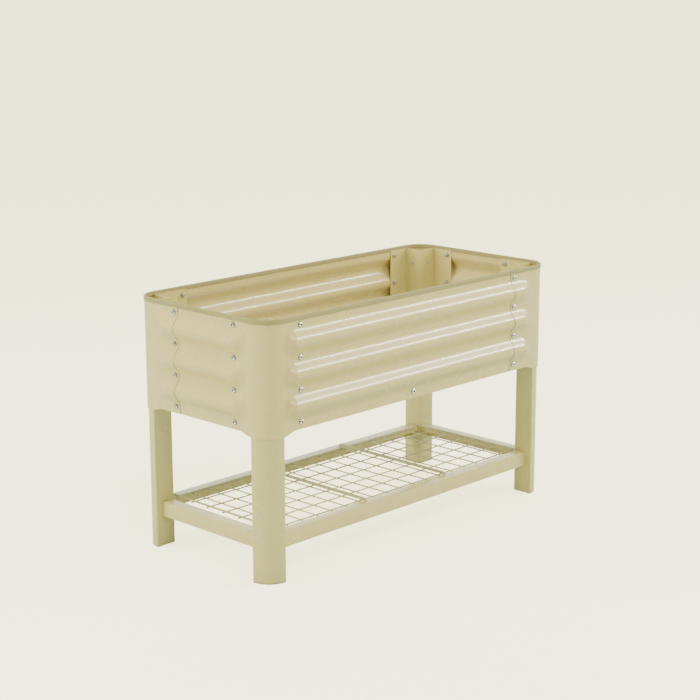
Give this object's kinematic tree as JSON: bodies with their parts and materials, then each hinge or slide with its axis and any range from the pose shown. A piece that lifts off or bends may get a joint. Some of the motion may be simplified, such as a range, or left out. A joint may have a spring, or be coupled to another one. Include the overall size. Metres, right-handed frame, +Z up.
{
  "type": "raised planter on legs",
  "caption": "Raised garden planter: a corrugated sheet-metal bed with rounded corners on quarter-round legs, with a wire storage shelf below.",
  "frame": {"origin": "on the floor under the centre of the planter's footprint", "axes": "+X along the length, +Y towards the back, +Z up; the planter repeats under a half turn about Z"},
  "size_m": [1.0584, 0.4954, 0.627],
  "materials": {
    "bed_paint": "satin powder coat",
    "leg_paint": "satin powder coat",
    "rail_paint": "satin powder coat",
    "wire_paint": "satin powder coat",
    "rim_edging": "smooth matte",
    "bolt_chrome": "polished",
    "zinc": "galvanised",
    "foot_rubber": "matte"
  },
  "bodies": {
    "root": {"front_left_panel": "bed_paint", "rear_right_panel": "bed_paint", "front_right_corner_panel": "bed_paint", "rear_left_corner_panel": "bed_paint", "leg_front_left": "leg_paint", "leg_front_right": "leg_paint", "leg_rear_right": "leg_paint", "leg_rear_left": "leg_paint", "foot_cap_front_left": "foot_rubber", "foot_cap_front_right": "foot_rubber", "foot_cap_rear_right": "foot_rubber", "foot_cap_rear_left": "foot_rubber", "leg_bracket_front_left": "leg_paint", "leg_bracket_front_right": "leg_paint", "leg_bracket_rear_right": "leg_paint", "leg_bracket_rear_left": "leg_paint", "rim_trim_front": "rim_edging", "rim_trim_rear": "rim_edging", "floor_ledge_front": "zinc", "floor_ledge_rear": "zinc", "floor_ledge_left": "zinc", "floor_ledge_right": "zinc", "floor_cross_brace": "zinc", "floor_panel_left": "zinc", "floor_panel_right": "zinc", "panel_bolts": "bolt_chrome", "panel_washers": "zinc", "panel_nuts": "zinc", "leg_screws": "zinc", "shelf_rail_front": "rail_paint", "shelf_rail_rear": "rail_paint", "shelf_rail_left": "rail_paint", "shelf_rail_right": "rail_paint", "rail_bracket_front_a": "rail_paint", "rail_bracket_front_b": "rail_paint", "rail_bracket_rear_a": "rail_paint", "rail_bracket_rear_b": "rail_paint", "rail_bracket_left_a": "rail_paint", "rail_bracket_left_b": "rail_paint", "rail_bracket_right_a": "rail_paint", "rail_bracket_right_b": "rail_paint", "shelf_mesh": "wire_paint", "shelf_cross_bar_left": "wire_paint", "shelf_cross_bar_right": "wire_paint"}
  },
  "joints": []
}
